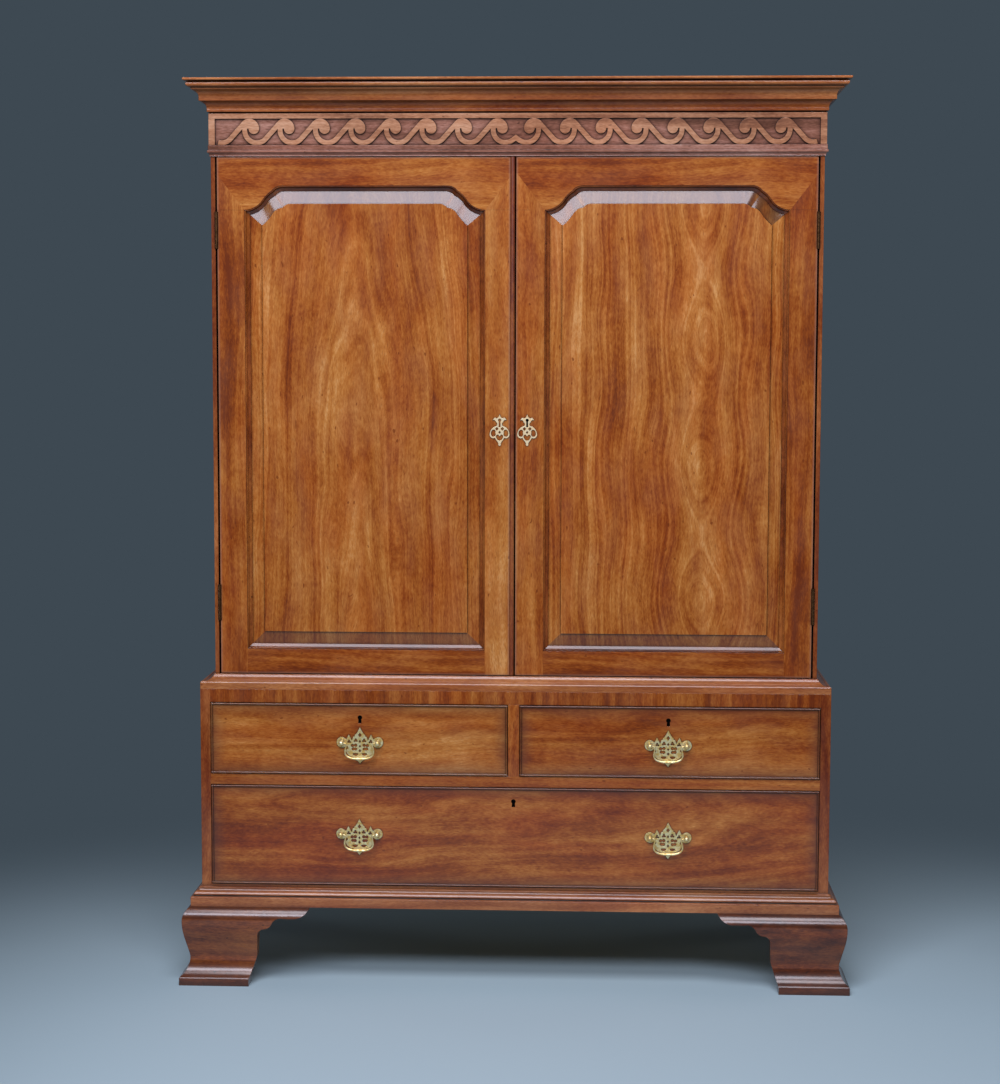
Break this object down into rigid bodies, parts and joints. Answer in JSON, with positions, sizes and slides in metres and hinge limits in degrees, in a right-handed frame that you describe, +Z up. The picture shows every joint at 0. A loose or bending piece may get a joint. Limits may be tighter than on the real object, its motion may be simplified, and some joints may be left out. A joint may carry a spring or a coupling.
{
  "type": "linen press",
  "caption": "Linen press: panelled two-door cupboard with sliding trays under a scroll frieze and cornice, on a chest of drawers with brass handles and ogee bracket feet.",
  "frame": {"origin": "floor point below the middle of the overall box", "axes": "+X to the right of the piece, +Y to the back, +Z up; doors and drawers face -Y"},
  "size_m": [1.411, 0.5954, 1.896],
  "materials": {
    "mahogany": "waxed, satin",
    "mahogany_panel": "waxed, figured, satin",
    "mahogany_pale": "waxed, faded, satin",
    "mahogany_dark": "waxed, satin",
    "oak": "plain, unpolished",
    "brass_worn": "old lacquered brass",
    "steel_dark": "dull"
  },
  "bodies": {
    "carcase": {"base_back_boards": "oak", "base_boards": "oak", "base_rails": "mahogany", "base_side_left": "mahogany", "base_side_right": "mahogany", "cornice_moulding": "mahogany_dark", "drawer_divider": "mahogany", "drawer_runners": "oak", "foot_front_left": "mahogany", "foot_front_right": "mahogany", "foot_rear_left": "mahogany", "foot_rear_right": "mahogany", "frieze_board": "mahogany_pale", "frieze_border": "mahogany_pale", "frieze_scroll": "mahogany_pale", "hinge_leaves_case": "brass_worn", "neck_moulding": "mahogany_dark", "plinth_moulding": "mahogany_dark", "press_back_boards": "oak", "press_boards": "oak", "press_side_left": "mahogany", "press_side_right": "mahogany", "tray_runners": "oak", "waist_moulding": "mahogany_dark"},
    "door_left": {"door_left_frame": "mahogany", "door_left_panel": "mahogany_panel", "door_left_moulding": "mahogany_dark", "door_left_escutcheon": "brass_worn", "door_left_brasswork": "brass_worn", "meeting_bead": "mahogany_dark"},
    "bolt_top": {"flush_bolt_top": "brass_worn"},
    "bolt_bottom": {"flush_bolt_bottom": "brass_worn"},
    "door_right": {"door_right_frame": "mahogany", "door_right_panel": "mahogany_panel", "door_right_moulding": "mahogany_dark", "door_right_escutcheon": "brass_worn", "door_right_brasswork": "brass_worn"},
    "door_lock_bolt": {"door_lock_bolt": "steel_dark"},
    "tray_1": {"tray_1": "oak"},
    "tray_2": {"tray_2": "oak"},
    "tray_3": {"tray_3": "oak"},
    "tray_4": {"tray_4": "oak"},
    "drawer_left": {"drawer_left_front": "mahogany", "drawer_left_box": "oak", "drawer_left_brasswork": "brass_worn"},
    "drawer_left_bail": {"drawer_left_bail": "brass_worn"},
    "drawer_left_lock_bolt": {"drawer_left_lock_bolt": "steel_dark"},
    "drawer_right": {"drawer_right_front": "mahogany", "drawer_right_box": "oak", "drawer_right_brasswork": "brass_worn"},
    "drawer_right_bail": {"drawer_right_bail": "brass_worn"},
    "drawer_right_lock_bolt": {"drawer_right_lock_bolt": "steel_dark"},
    "drawer_long": {"drawer_long_front": "mahogany", "drawer_long_box": "oak", "drawer_long_brasswork": "brass_worn"},
    "drawer_long_bail_left": {"drawer_long_bail_left": "brass_worn"},
    "drawer_long_bail_right": {"drawer_long_bail_right": "brass_worn"},
    "drawer_long_lock_bolt": {"drawer_long_lock_bolt": "steel_dark"}
  },
  "joints": [
    {"name": "door_left_hinge", "type": "hinge", "parent": "carcase", "child": "door_left", "pos_m": [-0.6235, -0.22725, 1.1985], "axis": [0, 0, -1], "range_deg": [0, 115]},
    {"name": "door_right_hinge", "type": "hinge", "parent": "carcase", "child": "door_right", "pos_m": [0.6235, -0.22725, 1.1985], "axis": [0, 0, 1], "range_deg": [0, 115]},
    {"name": "flush_bolt_top_slide", "type": "slide", "parent": "door_left", "child": "bolt_top", "axis": [0, 0, 1], "range_m": [0, 0.012]},
    {"name": "flush_bolt_bottom_slide", "type": "slide", "parent": "door_left", "child": "bolt_bottom", "axis": [0, 0, -1], "range_m": [0, 0.012]},
    {"name": "door_lock_bolt_slide", "type": "slide", "parent": "door_right", "child": "door_lock_bolt", "axis": [-1, 0, 0], "range_m": [0, 0.01]},
    {"name": "tray_1_slide", "type": "slide", "parent": "carcase", "child": "tray_1", "axis": [0, -1, 0], "range_m": [0, 0.045]},
    {"name": "tray_2_slide", "type": "slide", "parent": "carcase", "child": "tray_2", "axis": [0, -1, 0], "range_m": [0, 0.045]},
    {"name": "tray_3_slide", "type": "slide", "parent": "carcase", "child": "tray_3", "axis": [0, -1, 0], "range_m": [0, 0.045]},
    {"name": "tray_4_slide", "type": "slide", "parent": "carcase", "child": "tray_4", "axis": [0, -1, 0], "range_m": [0, 0.045]},
    {"name": "drawer_left_slide", "type": "slide", "parent": "carcase", "child": "drawer_left", "axis": [0, -1, 0], "range_m": [0, 0.42]},
    {"name": "drawer_left_bail_hinge", "type": "hinge", "parent": "drawer_left", "child": "drawer_left_bail", "pos_m": [-0.324, -0.26875, 0.5175], "axis": [-1, 0, 0], "range_deg": [0, 100]},
    {"name": "drawer_left_lock_bolt_slide", "type": "slide", "parent": "drawer_left", "child": "drawer_left_lock_bolt", "axis": [0, 0, 1], "range_m": [0, 0.011]},
    {"name": "drawer_right_slide", "type": "slide", "parent": "carcase", "child": "drawer_right", "axis": [0, -1, 0], "range_m": [0, 0.42]},
    {"name": "drawer_right_bail_hinge", "type": "hinge", "parent": "drawer_right", "child": "drawer_right_bail", "pos_m": [0.324, -0.26875, 0.5175], "axis": [-1, 0, 0], "range_deg": [0, 100]},
    {"name": "drawer_right_lock_bolt_slide", "type": "slide", "parent": "drawer_right", "child": "drawer_right_lock_bolt", "axis": [0, 0, 1], "range_m": [0, 0.011]},
    {"name": "drawer_long_slide", "type": "slide", "parent": "carcase", "child": "drawer_long", "axis": [0, -1, 0], "range_m": [0, 0.42]},
    {"name": "drawer_long_bail_left_hinge", "type": "hinge", "parent": "drawer_long", "child": "drawer_long_bail_left", "pos_m": [-0.3255, -0.26875, 0.3215], "axis": [-1, 0, 0], "range_deg": [0, 100]},
    {"name": "drawer_long_bail_right_hinge", "type": "hinge", "parent": "drawer_long", "child": "drawer_long_bail_right", "pos_m": [0.3255, -0.26875, 0.3215], "axis": [-1, 0, 0], "range_deg": [0, 100]},
    {"name": "drawer_long_lock_bolt_slide", "type": "slide", "parent": "drawer_long", "child": "drawer_long_lock_bolt", "axis": [0, 0, 1], "range_m": [0, 0.011]}
  ]
}
